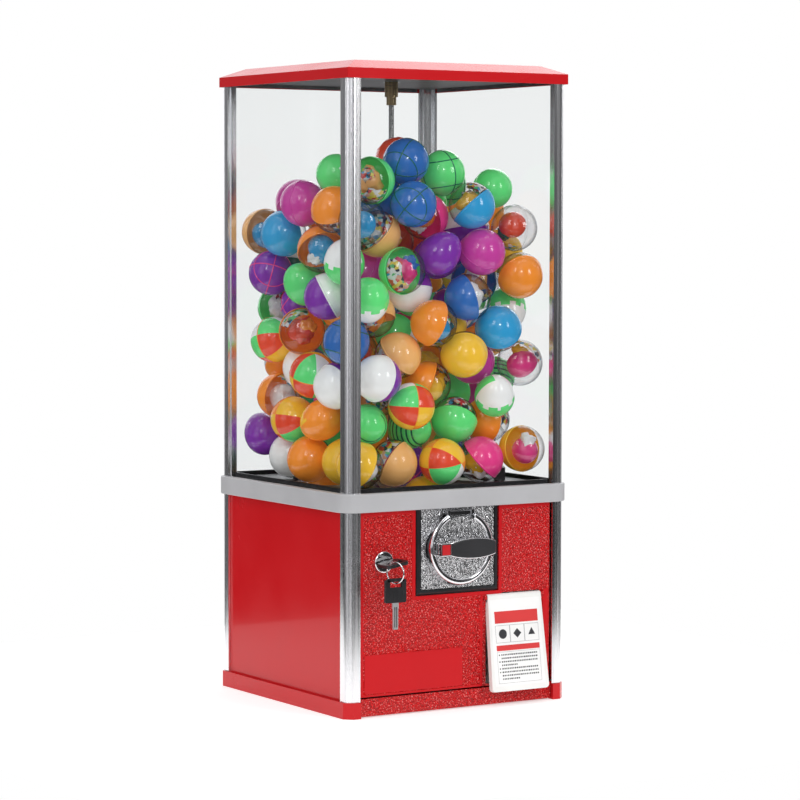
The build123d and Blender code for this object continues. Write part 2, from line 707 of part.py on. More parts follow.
def capsule_groups():
    """The pile, shared out between warm and cool colours."""
    random = np.random.default_rng(11)
    warm, cool = [], []
    for x, y, z in settled_pile():
        group = warm if random.uniform() < WARM_SHARE else cool
        group.append(Pos(x, y, z) * Sphere(CAPSULE_RADIUS))
    return warm, cool


# ---------------------------------------------------------------- all nodes

NODES = {
    "base_tray": base_tray,
    "side_panel_left": lambda: side_panel(-1),
    "side_panel_right": lambda: side_panel(1),
    "back_panel": back_panel,
    "window_left": lambda: window_x(-1),
    "window_right": lambda: window_x(1),
    "window_front": lambda: window_y(-1),
    "window_back": lambda: window_y(1),
    "collar": collar,
    "front_sill": front_sill,
    "post_screws": post_screws,
    "mech_plate": mech_plate,
    "hopper_brackets": hopper_brackets,
    "lid_shell": lid_shell,
    "lid_liner": lid_liner,
    "lid_lock_body": lid_lock_body,
    "lid_lock_bezel": lid_lock_bezel,
    "lid_lock_plug": lid_lock_plug,
    "centre_rod": centre_rod,
    "rod_anchor": rod_anchor,
    "hopper_floor": hopper_floor,
    "dispensing_wheel": dispensing_wheel,
    "wheel_bush": wheel_bush,
    "rod_nut": rod_nut,
    "capsule_guard": capsule_guard,
    "panel_screws": panel_screws,
    "chute": chute,
    "coin_box": coin_box,
    "mech_bezel": bezel,
    "mech_faceplate": faceplate,
    "knob_disc": knob_disc,
    "coin_carrier": coin_carrier,
    "knob_handle": knob_handle,
    "handle_grip": handle_grip,
    "handle_marker": handle_marker,
    "drive_shaft": drive_shaft,
    "mech_housing": mech_housing,
    "ratchet_wheel": ratchet_wheel,
    "pawl": pawl,
    "pawl_spring": pawl_spring,
    "drive_pinion": drive_pinion,
    "front_door": front_door,
    "door_hinge_pins": door_hinge_pins,
    "nameplate": nameplate,
    "lock_barrel": lock_barrel,
    "lock_nut": lock_nut,
    "lock_plug": lock_plug,
    "key_blade": lambda: key_blade(0.0),
    "key_bow": key_bow,
    "lock_cam": lock_cam,
    "cam_screw": cam_screw,
    "key_ring": key_ring,
    "spare_key": lambda: spare_bow() + spare_blade(),
    "outlet_flap": outlet_flap,
    "flap_label": flap_label,
    "flap_pin": flap_pin,
    "pocket_capsules": pocket_capsules,
}


def main():
    os.makedirs("parts", exist_ok=True)
    for name, make in NODES.items():
        save(name, make())
    corner_posts = [Rot(0, 0, 90 * k) * post() for k in range(4)]
    save("corner_posts", Part() + corner_posts)
    warm, cool = capsule_groups()
    save("capsules_warm", Compound(children=warm))
    save("capsules_cool", Compound(children=cool))
    print("capsules", len(warm) + len(cool))


main()
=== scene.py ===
import json
import math
import random
import bmesh
import bpy
import mathutils
from mathutils import Euler, Matrix, Vector


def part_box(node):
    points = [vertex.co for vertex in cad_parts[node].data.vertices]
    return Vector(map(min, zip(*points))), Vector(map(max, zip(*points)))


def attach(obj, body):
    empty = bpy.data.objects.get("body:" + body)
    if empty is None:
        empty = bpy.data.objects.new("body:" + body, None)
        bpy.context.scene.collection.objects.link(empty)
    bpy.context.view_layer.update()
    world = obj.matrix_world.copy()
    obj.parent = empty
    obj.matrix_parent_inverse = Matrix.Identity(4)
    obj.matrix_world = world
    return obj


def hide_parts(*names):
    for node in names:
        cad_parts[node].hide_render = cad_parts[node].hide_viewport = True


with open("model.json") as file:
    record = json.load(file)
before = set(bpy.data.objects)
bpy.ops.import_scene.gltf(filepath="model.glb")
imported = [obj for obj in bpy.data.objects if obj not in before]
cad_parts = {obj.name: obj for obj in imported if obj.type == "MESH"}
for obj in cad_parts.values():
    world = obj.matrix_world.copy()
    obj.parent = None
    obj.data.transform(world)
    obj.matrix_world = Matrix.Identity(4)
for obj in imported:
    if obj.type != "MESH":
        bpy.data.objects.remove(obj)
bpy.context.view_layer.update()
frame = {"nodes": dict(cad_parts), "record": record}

MM = 0.001

# ---------------------------------------------------------------- camera, light and floor

CAMERA_PLACE = (-1.58274, -2.55565, 0.48457)
CAMERA_AZIMUTH = 31.95
CAMERA_ELEVATION = 3.49
CAMERA_ROLL = 0.11
CAMERA_LENS = 132.06


def make_camera():
    data = bpy.data.cameras.new("camera")
    data.lens = CAMERA_LENS
    data.sensor_width = 36.0
    data.clip_end = 50.0
    camera = bpy.data.objects.new("camera", data)
    bpy.context.scene.collection.objects.link(camera)
    camera.location = CAMERA_PLACE
    turn = Matrix.Rotation(math.radians(-CAMERA_AZIMUTH), 4, "Z")
    tilt = Matrix.Rotation(math.radians(90 - CAMERA_ELEVATION), 4, "X")
    roll = Matrix.Rotation(math.radians(CAMERA_ROLL), 4, "Z")
    camera.rotation_euler = (turn @ tilt @ roll).to_euler()
    bpy.context.scene.camera = camera


def area_light(name, place, target, size, power):
    data = bpy.data.lights.new(name, "AREA")
    data.shape = "RECTANGLE"
    data.size, data.size_y = size
    data.energy = power
    light = bpy.data.objects.new(name, data)
    bpy.context.scene.collection.objects.link(light)
    light.location = place
    aim = Vector(target) - Vector(place)
    light.rotation_euler = aim.to_track_quat("-Z", "Y").to_euler()


# The upright panels that metal and gloss see: bearing in degrees and brightness.
PANELS = (
    (-180, 1.0), (-166, 1.0), (-152, 0.06), (-136, 0.06), (-126, 0.85), (-112, 0.85), (-98, 0.05),
    (-84, 0.05), (-70, 0.30), (-56, 0.05), (-26, 0.05), (-12, 0.7), (0, 0.7), (14, 0.08), (30, 0.9),
    (100, 1.0), (112, 0.12), (140, 0.10), (150, 0.6), (158, 0.08), (166, 0.08), (180, 1.0),
)


# What a glossy ray sees, by the sine of its elevation: skirting, then panels, then ceiling.
SKIRTING_TO_PANELS = (-0.075, -0.010)
SKIRTING_GLOW = 0.25
PANEL_GLOW = 1.35
PANELS_TO_CEILING = (0.60, 0.85)
CEILING_TONE = 0.55
# The even light that reaches matt surfaces.
ROOM_GLOW = 0.70


def link_math(tree, operation, *values):
    """One maths node; each value is a socket or a number."""
    node = tree.nodes.new("ShaderNodeMath")
    node.operation = operation
    for socket, value in zip(node.inputs, values):
        if isinstance(value, (int, float)):
            socket.default_value = value
        else:
            tree.links.new(value, socket)
    return node.outputs["Value"]


def map_range(tree, source, from_range, to_range=(0.0, 1.0)):
    """Carry one range of values to another, held at its ends."""
    node = tree.nodes.new("ShaderNodeMapRange")
    node.inputs["From Min"].default_value, node.inputs["From Max"].default_value = from_range
    node.inputs["To Min"].default_value, node.inputs["To Max"].default_value = to_range
    tree.links.new(source, node.inputs["Value"])
    return node.outputs["Result"]


def make_world():
    """A white room. Metal and gloss see upright bright and dark panels, a dim skirting and a ceiling."""
    world = bpy.data.worlds.new("studio")
    bpy.context.scene.world = world
    world.use_nodes = True
    tree = world.node_tree
    seen = tree.nodes["Background"]
    seen.inputs["Color"].default_value = (1.0, 1.0, 1.0, 1)
    seen.inputs["Strength"].default_value = 1.0
    place = tree.nodes.new("ShaderNodeTexCoord")
    axes = tree.nodes.new("ShaderNodeSeparateXYZ")
    tree.links.new(place.outputs["Generated"], axes.inputs["Vector"])
    angle = link_math(tree, "ARCTAN2", axes.outputs["Y"], axes.outputs["X"])
    turn = link_math(tree, "ADD", link_math(tree, "DIVIDE", angle, 2 * math.pi), 0.5)
    stops = [((degrees + 180) / 360, (tone, tone, tone * 1.03)) for degrees, tone in PANELS]
    upright = ramp(tree, turn, stops)
    ceiling = tree.nodes.new("ShaderNodeMix")
    ceiling.data_type = "RGBA"
    tree.links.new(map_range(tree, axes.outputs["Z"], PANELS_TO_CEILING), ceiling.inputs["Factor"])
    colours = [socket for socket in ceiling.inputs if socket.type == "RGBA"]
    tree.links.new(upright, colours[0])
    colours[1].default_value = (CEILING_TONE, CEILING_TONE, CEILING_TONE, 1)
    lit = tree.nodes.new("ShaderNodeBackground")
    glow = map_range(tree, axes.outputs["Z"], SKIRTING_TO_PANELS, (SKIRTING_GLOW, PANEL_GLOW))
    tree.links.new(glow, lit.inputs["Strength"])
    tree.links.new([socket for socket in ceiling.outputs if socket.type == "RGBA"][0], lit.inputs["Color"])
    soft = tree.nodes.new("ShaderNodeBackground")
    soft.inputs["Color"].default_value = (1.0, 1.0, 1.0, 1)
    soft.inputs["Strength"].default_value = ROOM_GLOW
    path = tree.nodes.new("ShaderNodeLightPath")
    by_gloss = tree.nodes.new("ShaderNodeMixShader")
    tree.links.new(path.outputs["Is Glossy Ray"], by_gloss.inputs["Fac"])
    tree.links.new(soft.outputs[0], by_gloss.inputs[1])
    tree.links.new(lit.outputs[0], by_gloss.inputs[2])
    pick = tree.nodes.new("ShaderNodeMixShader")
    tree.links.new(path.outputs["Is Camera Ray"], pick.inputs["Fac"])
    tree.links.new(by_gloss.outputs[0], pick.inputs[1])
    tree.links.new(seen.outputs[0], pick.inputs[2])
    tree.links.new(pick.outputs[0], tree.nodes["World Output"].inputs["Surface"])


FLOOR_REACH = 0.52
FLOOR_GLOW = 0.44


def make_studio():
    bpy.context.scene.view_settings.view_transform = "Standard"
    bpy.context.scene.cycles.transparent_max_bounces = 32
    make_world()
    area_light("key", (-1.9, -1.3, 1.7), (0, 0, 0.3), (0.5, 1.0), 8)
    area_light("front_box", (0.7, -2.2, 1.1), (0, 0, 0.3), (0.35, 0.9), 8)
    area_light("rear_box", (1.6, 1.5, 1.6), (0, 0, 0.4), (1.2, 1.2), 8)
    area_light("spark", (-1.0, -2.3, 1.3), (0, 0, 0.3), (0.06, 0.06), 7.0)
    area_light("top_box", (0, 0, 2.4), (0, 0, 0), (1.6, 1.6), 14)
    mesh = bpy.data.meshes.new("floor")
    reach = FLOOR_REACH
    corners = [(-reach, -reach, 0), (reach, -reach, 0), (reach, reach, 0), (-reach, reach, 0)]
    mesh.from_pydata(corners, [], [(0, 1, 2, 3)])
    floor = bpy.data.objects.new("floor", mesh)
    bpy.context.scene.collection.objects.link(floor)
    floor.location.z = -0.0002
    paper = plain("floor_paper", (0.8, 0.8, 0.8), 0.8, specular=0.0, mottle=0.01)
    add_glow(paper, (1, 1, 1), FLOOR_GLOW)
    mesh.materials.append(paper)


# ---------------------------------------------------------------- materials

def new_material(name):
    material = bpy.data.materials.new(name)
    material.use_nodes = True
    tree = material.node_tree
    return material, tree, tree.nodes["Principled BSDF"]


def add_glow(material, colour, strength):
    shader = material.node_tree.nodes["Principled BSDF"]
    shader.inputs["Emission Color"].default_value = (*colour, 1)
    shader.inputs["Emission Strength"].default_value = strength


def noise(tree, scale, detail=3.0, stretch=(1, 1, 1), roughness=0.5):
    """Noise in object space, in metres, so that its grain keeps its real size."""
    place = tree.nodes.new("ShaderNodeTexCoord")
    mapping = tree.nodes.new("ShaderNodeMapping")
    mapping.inputs["Scale"].default_value = stretch
    texture = tree.nodes.new("ShaderNodeTexNoise")
    texture.inputs["Scale"].default_value = scale
    texture.inputs["Detail"].default_value = detail
    texture.inputs["Roughness"].default_value = roughness
    tree.links.new(place.outputs["Object"], mapping.inputs["Vector"])
    tree.links.new(mapping.outputs["Vector"], texture.inputs["Vector"])
    return texture.outputs["Fac"]


def ramp(tree, source, stops):
    """A colour ramp with stops of (place, colour)."""
    node = tree.nodes.new("ShaderNodeValToRGB")
    elements = node.color_ramp.elements
    while len(elements) < len(stops):
        elements.new(0.5)
    for element, (place, colour) in zip(elements, stops):
        element.position = place
        element.color = (*colour, 1)
    tree.links.new(source, node.inputs["Fac"])
    return node.outputs["Color"]


def spread(tree, source, low, high):
    """Carry the middle of a 0 to 1 value, where most of a noise lies, to a range."""
    return map_range(tree, source, (0.3, 0.7), (low, high))


def bump(tree, shader, source, strength, distance):
    node = tree.nodes.new("ShaderNodeBump")
    node.inputs["Strength"].default_value = strength
    node.inputs["Distance"].default_value = distance
    tree.links.new(source, node.inputs["Height"])
    tree.links.new(node.outputs["Normal"], shader.inputs["Normal"])


def shade(colour, factor):
    return tuple(min(1.0, c * factor) for c in colour)


def plain(name, colour, rough, metal=0.0, specular=0.5, coat=0.0, grain=900.0, depth=0.00002, mottle=0.06):
    """A moulded or painted surface: faint mottling, varied roughness and a fine grain."""
    material, tree, shader = new_material(name)
    cloud = noise(tree, 18.0, 4.0)
    fine = noise(tree, grain, 2.0)
    stops = [(0.3, shade(colour, 1 - mottle)), (0.7, shade(colour, 1 + mottle))]
    tree.links.new(ramp(tree, cloud, stops), shader.inputs["Base Color"])
    tree.links.new(spread(tree, cloud, rough * 0.8, rough * 1.25), shader.inputs["Roughness"])
    shader.inputs["Metallic"].default_value = metal
    shader.inputs["Specular IOR Level"].default_value = specular
    shader.inputs["Coat Weight"].default_value = coat
    shader.inputs["Coat Roughness"].default_value = 0.06
    bump(tree, shader, fine, 0.25, depth)
    return material


def pebbled(name, colour, rough, metal, size, depth, light, dark, specular=0.5, painted_glint=None):
    """Moulded leather grain: raised pebbles whose colour carries painted highlights on their tops, painted
    shade in the furrows between them and, when a glint colour is given, painted glints at their centres.
    """
    material, tree, shader = new_material(name)
    place = tree.nodes.new("ShaderNodeTexCoord")
    warp = tree.nodes.new("ShaderNodeTexNoise")
    warp.inputs["Scale"].default_value = 0.35 / size
    mix = tree.nodes.new("ShaderNodeVectorMath")
    mix.operation = "MULTIPLY_ADD"
    mix.inputs[1].default_value = (size * 1.6,) * 3
    tree.links.new(place.outputs["Object"], warp.inputs["Vector"])
    tree.links.new(warp.outputs["Color"], mix.inputs[0])
    tree.links.new(place.outputs["Object"], mix.inputs[2])
    cells = tree.nodes.new("ShaderNodeTexVoronoi")
    cells.feature = "SMOOTH_F1"
    cells.inputs["Scale"].default_value = 1.0 / size
    cells.inputs["Smoothness"].default_value = 0.4
    tree.links.new(mix.outputs["Vector"], cells.inputs["Vector"])
    # Painted light: the light factor lightens the pebble tops as a painted highlight, the dark factor darkens
    # the furrows as painted shade, and the glint colour paints glints at the centres.
    stops = [(0.15, painted_glint or shade(colour, light)), (0.27, shade(colour, light)), (0.45, colour),
             (0.8, shade(colour, dark))]
    tree.links.new(ramp(tree, cells.outputs["Distance"], stops), shader.inputs["Base Color"])
    roughness = spread(tree, cells.outputs["Distance"], rough * 0.8, rough * 1.3)
    tree.links.new(roughness, shader.inputs["Roughness"])
    shader.inputs["Metallic"].default_value = metal
    shader.inputs["Specular IOR Level"].default_value = specular
    bump(tree, shader, link_math(tree, "SUBTRACT", 1.0, cells.outputs["Distance"]), 1.0, depth)
    return material


def drawn_metal(name, colour, rough, stretch, scale=260.0, contrast=0.12):
    """Extruded or brushed metal, with die lines along one direction."""
    material, tree, shader = new_material(name)
    lines = noise(tree, scale, 4.0, stretch, 0.65)
    stops = [(0.25, shade(colour, 1 - contrast * 2)), (0.5, colour), (0.75, shade(colour, 1 + contrast))]
    tree.links.new(ramp(tree, lines, stops), shader.inputs["Base Color"])
    tree.links.new(spread(tree, lines, rough * 0.7, rough * 1.5), shader.inputs["Roughness"])
    shader.inputs["Metallic"].default_value = 1.0
    bump(tree, shader, lines, 0.2, 0.00003)
    return material


def printed_paper(name):
    """Glossy paper covered in small blots of bright ink, standing in for printed pictures."""
    material, tree, shader = new_material(name)
    place = tree.nodes.new("ShaderNodeTexCoord")
    cells = tree.nodes.new("ShaderNodeTexVoronoi")
    cells.inputs["Scale"].default_value = 260.0
    tree.links.new(place.outputs["Object"], cells.inputs["Vector"])
    part = tree.nodes.new("ShaderNodeSeparateColor")
    tree.links.new(cells.outputs["Color"], part.inputs["Color"])
    stops = [(0.0, (0.80, 0.80, 0.78)), (0.30, (0.05, 0.35, 0.62)), (0.42, (0.80, 0.62, 0.06)),
             (0.55, (0.72, 0.06, 0.05)), (0.68, (0.10, 0.50, 0.16)), (0.78, (0.80, 0.42, 0.30)),
             (0.88, (0.03, 0.03, 0.05))]
    colour = ramp(tree, part.outputs["Red"], stops)
    colour.node.color_ramp.interpolation = "CONSTANT"
    tree.links.new(colour, shader.inputs["Base Color"])
    shader.inputs["Roughness"].default_value = 0.3
    bump(tree, shader, noise(tree, 400.0), 0.3, 0.0002)
    return material


def clear_sheet(name, tint, edge_tint, gloss=0.03, least=0.025):
    """Thin clear plastic: see-through, darker and more reflective towards grazing angles."""
    material, tree, shader = new_material(name)
    tree.nodes.remove(shader)
    out = tree.nodes["Material Output"]
    through = tree.nodes.new("ShaderNodeBsdfTransparent")
    grazing = tree.nodes.new("ShaderNodeLayerWeight")
    grazing.inputs["Blend"].default_value = 0.5
    tone = ramp(tree, grazing.outputs["Facing"], [(0.45, tint), (1.0, edge_tint)])
    tree.links.new(tone, through.inputs["Color"])
    glossy = tree.nodes.new("ShaderNodeBsdfGlossy")
    glossy.inputs["Roughness"].default_value = gloss
    power = link_math(tree, "POWER", grazing.outputs["Facing"], 5.0)
    mix = tree.nodes.new("ShaderNodeMixShader")
    tree.links.new(link_math(tree, "MULTIPLY_ADD", power, 0.6, least), mix.inputs["Fac"])
    tree.links.new(through.outputs[0], mix.inputs[1])
    tree.links.new(glossy.outputs[0], mix.inputs[2])
    tree.links.new(mix.outputs[0], out.inputs["Surface"])
    return material


RED = (0.55, 0.007, 0.011)
STEEL = (0.56, 0.56, 0.57)
CHROME = (0.82, 0.82, 0.84)
BLACK = (0.012, 0.012, 0.014)
GREY = (0.44, 0.44, 0.455)
BRASS = (0.40, 0.30, 0.17)
WHITE = (0.82, 0.82, 0.80)

CAPSULE_COLOURS = {
    "orange": (0.90, 0.28, 0.03),
    "yellow": (0.88, 0.52, 0.04),
    "pink": (0.80, 0.05, 0.25),
    "purple": (0.20, 0.03, 0.36),
    "dark_green": (0.01, 0.12, 0.08),
    "lime": (0.12, 0.72, 0.20),
    "blue": (0.03, 0.14, 0.45),
    "sky": (0.03, 0.32, 0.62),
    "red": (0.75, 0.07, 0.03),
    "white": (0.84, 0.84, 0.84),
    "magenta": (0.55, 0.05, 0.33),
    "peach": (0.85, 0.45, 0.16),
}

# Painted glow: a coloured capsule's plastic gives off a little of its own colour, standing in for the light
# that a thin shell lets through from behind.
PAINTED_SHELL_GLOW = 0.09
# Width of one pebble of the moulded grain on the door and the chrome.
PEBBLE = 0.0019


def make_materials():
    made = {
        "red_paint": plain("red_paint", RED, 0.22, specular=0.15, coat=0.25, grain=500.0,
                           depth=0.0000015, mottle=0.02),
        # Painted glints, highlights and shade: light pink pebble centres, lighter tops and darker furrows are
        # in the red grain's colour.
        "red_grain": pebbled("red_grain", (0.58, 0.007, 0.008), 0.11, 0.0, PEBBLE, 0.0021, 1.35, 0.62,
                             specular=0.28, painted_glint=(0.86, 0.30, 0.28)),
        "red_smooth": plain("red_smooth", RED, 0.34, specular=0.18, grain=700.0, mottle=0.03),
        "aluminium": drawn_metal("aluminium", (0.92, 0.92, 0.94), 0.21, (1.0, 1.0, 0.006), 300.0, 0.16),
        "window": clear_sheet("window", (0.985, 0.99, 0.99), (0.93, 0.95, 0.95)),
        "collar": plain("collar_grey", GREY, 0.36, grain=600.0, depth=0.00001),
        "steel": drawn_metal("steel", STEEL, 0.35, (1.0, 1.0, 0.1)),
        "galvanised": plain("galvanised", (0.45, 0.46, 0.47), 0.4, metal=1.0, mottle=0.2),
        "liner": plain("liner_sheet", (0.20, 0.20, 0.21), 0.35, metal=0.8, mottle=0.15),
        "rod": drawn_metal("rod_steel", (0.33, 0.33, 0.33), 0.3, (1.0, 1.0, 0.2)),
        "brass": drawn_metal("brass", BRASS, 0.3, (0.1, 0.1, 1.0)),
        "chrome": plain("chrome", CHROME, 0.08, metal=1.0, grain=300.0, mottle=0.03),
        # Painted highlights and shade: lighter pebble tops and darker furrows are in the chrome grain's
        # colour.
        "chrome_pebble": pebbled("chrome_pebble", (0.50, 0.50, 0.51), 0.22, 1.0, PEBBLE, 0.0009, 1.3, 0.5),
        "black": plain("black_plastic", BLACK, 0.36),
        "black_satin": plain("black_satin", (0.03, 0.03, 0.033), 0.3),
        "wheel": plain("wheel_plastic", (0.7, 0.7, 0.68), 0.45),
        "zinc": plain("cast_zinc", (0.4, 0.41, 0.42), 0.45, metal=0.9, mottle=0.12),
        "red_inlay": plain("red_inlay", (0.55, 0.01, 0.015), 0.35),
        "white": plain("white_plastic", WHITE, 0.32),
        "paper": plain("label_paper", (0.86, 0.86, 0.85), 0.5),
        "print_red": plain("print_red", (0.66, 0.03, 0.03), 0.5),
        "print_black": plain("print_black", (0.03, 0.03, 0.035), 0.5),
        "print_grey": plain("print_grey", (0.33, 0.33, 0.34), 0.5),
        "capsule_clear": clear_sheet("capsule_clear", (0.91, 0.91, 0.92), (0.36, 0.38, 0.40), 0.06, 0.07),
    }
    for name, colour in CAPSULE_COLOURS.items():
        plastic = plain("capsule_" + name, colour, 0.16, coat=0.3, grain=200.0, depth=0.00003)
        # Painted glow: the capsule plastic gives off a little of its own colour.
        add_glow(plastic, colour, PAINTED_SHELL_GLOW)
        made["capsule_" + name] = plastic
    made["capsule_print"] = printed_paper("capsule_print")
    return made


MATERIALS = make_materials()
make_camera()
make_studio()

NODE_MATERIALS = {
    "red_paint": ["base_tray", "side_panel_left", "side_panel_right", "back_panel", "lid_shell"],
    "red_smooth": ["nameplate"],
    "red_grain": ["front_door", "front_sill"],
    "aluminium": ["corner_posts"],
    "window": ["window_left", "window_right", "window_front", "window_back"],
    "collar": ["collar"],
    "galvanised": ["mech_plate", "hopper_brackets", "rod_anchor", "coin_box"],
    "liner": ["lid_liner"],
    "steel": ["lock_cam", "rod_nut", "post_screws", "panel_screws", "door_hinge_pins", "flap_pin",
              "cam_screw"],
    "rod": ["centre_rod", "drive_shaft", "pawl_spring"],
    "brass": ["lid_lock_body"],
    "chrome": ["lid_lock_bezel", "lid_lock_plug", "lock_barrel", "lock_nut", "lock_plug", "key_ring",
               "key_blade", "knob_handle"],
    "chrome_pebble": ["mech_faceplate", "knob_disc"],
    "black": ["mech_bezel", "key_bow", "hopper_floor", "capsule_guard", "wheel_bush"],
    "black_satin": ["handle_grip"],
    "wheel": ["dispensing_wheel"],
    "zinc": ["mech_housing", "coin_carrier", "ratchet_wheel", "pawl", "drive_pinion"],
    "red_inlay": ["handle_marker"],
    "white": ["outlet_flap", "chute"],
    "paper": ["flap_label"],
    "capsule_orange": ["capsules_warm", "pocket_capsules"],
    "capsule_blue": ["capsules_cool"],
}


def give_material(thing, material):
    """Put one material in every slot of a CAD node or a piece."""
    slots = thing.material_slots
    if not slots:
        thing.data.materials.append(material)
    for slot in slots:
        slot.link = "OBJECT"
        slot.material = material


for material_name, node_names in NODE_MATERIALS.items():
    for node_name in node_names:
        give_material(frame["nodes"][node_name], MATERIALS[material_name])


# ---------------------------------------------------------------- mesh helpers

def piece_from(name, mesh, body, materials):
    thing = bpy.data.objects.new(name, mesh)
    bpy.context.scene.collection.objects.link(thing)
    for material in materials:
        mesh.materials.append(material)
    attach(thing, body)
    return thing


def add_bevel(thing, width, segments, angle):
    modifier = thing.modifiers.new("edges", "BEVEL")
    modifier.width = width
    modifier.segments = segments
    modifier.limit_method = "ANGLE"
    modifier.angle_limit = math.radians(angle)
    modifier.harden_normals = True


def box_into(builder, low, high, material_index=0):
    """Add a box between two corners to a bmesh."""
    made = bmesh.ops.create_cube(builder, size=1.0)
    size = Vector(high) - Vector(low)
    middle = (Vector(high) + Vector(low)) / 2
    for vertex in made["verts"]:
        vertex.co = Vector([vertex.co[k] * size[k] + middle[k] for k in range(3)])
    faces = {face for vertex in made["verts"] for face in vertex.link_faces}
    for face in faces:
        face.material_index = material_index


def mesh_from(builder, name):
    mesh = bpy.data.meshes.new(name)
    bmesh.ops.recalc_face_normals(builder, faces=builder.faces)
    builder.to_mesh(mesh)
    builder.free()
    return mesh


# ---------------------------------------------------------------- capsules

def islands(node):
    """The middle of each separate ball in a capsule node, from its mesh."""
    mesh = frame["nodes"][node].data
    parent = list(range(len(mesh.vertices)))

    def root(k):
        while parent[k] != k:
            parent[k] = parent[parent[k]]
            k = parent[k]
        return k

    for edge in mesh.edges:
        a, b = root(edge.vertices[0]), root(edge.vertices[1])
        if a != b:
            parent[b] = a
    groups = {}
    for vertex in mesh.vertices:
        groups.setdefault(root(vertex.index), []).append(vertex.co)
    middles = []
    for points in groups.values():
        low = [min(p[k] for p in points) for k in range(3)]
        high = [max(p[k] for p in points) for k in range(3)]
        middles.append(tuple(round((low[k] + high[k]) / 2, 5) for k in range(3)))
    return sorted(middles)


CAPSULE_RADIUS = 0.0238
SHELL_RADIUS = CAPSULE_RADIUS * 0.985
EGG_LENGTH = CAPSULE_RADIUS * 0.99
EGG_SHARE = 0.86
ZIGZAGS = 9
# How far round an egg, in radians each way, its slots or its cap reach; the rest is a plain spine.
SLOT_REACH = 2.2
CAP_REACH = 2.3
CAPSULES_PER_PIECE = 12
ROUND_STEPS = 40
TILT_STEPS = 10


def lathe_into(builder, profile, turn, place, material_index):
    """Spin a profile of (radius, height) points about its axis, turned and placed."""
    rings = []
    for radius, height in profile:
        if radius < 1e-6:
            rings.append([builder.verts.new(place + turn @ Vector((0, 0, height)))])
            continue
        ring = []
        for k in range(ROUND_STEPS):
            angle = 2 * math.pi * k / ROUND_STEPS
            point = Vector((radius * math.cos(angle), radius * math.sin(angle), height))
            ring.append(builder.verts.new(place + turn @ point))
        rings.append(ring)
    for low, high in zip(rings, rings[1:]):
        for k in range(ROUND_STEPS):
            after = k + 1
            corners = [low[k % len(low)], low[after % len(low)], high[after % len(high)], high[k % len(high)]]
            unique = list(dict.fromkeys(corners))
            if len(unique) > 2:
                face = builder.faces.new(unique)
                face.material_index = material_index
                face.smooth = True


def dome(radius, sign, start=0.0):
    """Profile of half a ball, from its rim to its pole."""
    points = []
    for k in range(TILT_STEPS + 1):
        angle = start + (math.pi / 2 - start) * k / TILT_STEPS
        points.append((radius * math.cos(angle), sign * radius * math.sin(angle)))
    points[-1] = (0.0, sign * radius)
    return points


def rim_band(radius, half_height, proud):
    """The overlapping lip where the two shells snap together."""
    inside = radius * 0.985
    outside = radius + proud
    return [(inside, -half_height), (outside, -half_height * 0.8), (outside, half_height * 0.8),
            (inside, half_height)]


def snap_capsule(builder, turn, place, low, high, band):
    """Two half shells with a lip; low, high and band are material numbers."""
    lathe_into(builder, dome(SHELL_RADIUS, -1, 0.03), turn, place, low)
    lathe_into(builder, dome(SHELL_RADIUS, 1, 0.03), turn, place, high)
    lathe_into(builder, rim_band(SHELL_RADIUS, 0.0011, 0.0003), turn, place, band)


def crumpled_into(builder, turn, place, size, seed, material_index):
    """A small folded wad inside a clear shell, with creases that run across it."""
    shift = Vector((seed % 97 * 1.7, seed % 89 * 0.9, 0.0))
    made = bmesh.ops.create_icosphere(builder, subdivisions=3, radius=size)
    for vertex in made["verts"]:
        way = vertex.co.normalized()
        swell = mathutils.noise.noise(way * 1.5 + shift)
        crease = abs(mathutils.noise.noise(way * 3.4 - shift))
        push = 0.92 + 0.35 * swell - 0.55 * crease
        vertex.co = place + turn @ (Vector((vertex.co.x, vertex.co.y, vertex.co.z * 0.85)) * push)
    for face in {face for vertex in made["verts"] for face in vertex.link_faces}:
        face.material_index = material_index
        face.smooth = True


def paper_into(builder, turn, place, wide, low, high, material_index):
    """A curved strip of printed paper lying against the inside of the clear shell."""
    radius = CAPSULE_RADIUS * 0.955
    steps = 8
    rows = []
    for k in range(steps + 1):
        tilt = low + (high - low) * k / steps
        row = []
        for step in range(2 * steps + 1):
            around = wide * (step / steps - 1) * (1 - 0.1 * abs(math.sin(k)))
            flat = math.cos(tilt)
            point = Vector((flat * math.cos(around), flat * math.sin(around), math.sin(tilt)))
            row.append(builder.verts.new(place + turn @ (point * radius)))
        rows.append(row)
    for under, over in zip(rows, rows[1:]):
        for k in range(len(under) - 1):
            face = builder.faces.new((under[k], under[k + 1], over[k + 1], over[k]))
            face.material_index = material_index
            face.smooth = True


def egg_profile(length, share, taper, steps):
    """Points of an egg, share of its length wide, from its blunt end to its sharp end."""
    rows = [(0.0, -length)]
    for k in range(1, steps):
        angle = math.pi * k / steps
        height = -length * math.cos(angle)
        rows.append((share * length * math.sin(angle) * (1 - taper * height / length), height))
    rows.append((0.0, length))
    return rows


def faces_since(builder, first, turn, place):
    """The faces made from vertex number first on, each with its middle in the ball's own axes."""
    builder.verts.ensure_lookup_table()
    back = turn.inverted()
    for face in {face for vertex in builder.verts[first:] for face in vertex.link_faces}:
        yield face, back @ (face.calc_center_median() - place)


def ribbed_egg(builder, turn, place, colour, gap):
    """An egg with a row of dark slots round its middle, closed on one side by a plain spine."""
    rows = egg_profile(EGG_LENGTH, EGG_SHARE, 0.08, 40)
    slotted = []
    for k in range(10, 30, 3):
        slotted.append((rows[k][1] + rows[k + 1][1]) / 2)
        for row in (k, k + 1):
            rows[row] = (rows[row][0] * 0.965, rows[row][1])
    first = len(builder.verts)
    lathe_into(builder, rows, turn, place, colour)
    for face, middle in faces_since(builder, first, turn, place):
        around = math.atan2(middle.y, middle.x)
        if abs(around) < SLOT_REACH and min(abs(middle.z - height) for height in slotted) < 0.0004:
            face.material_index = gap


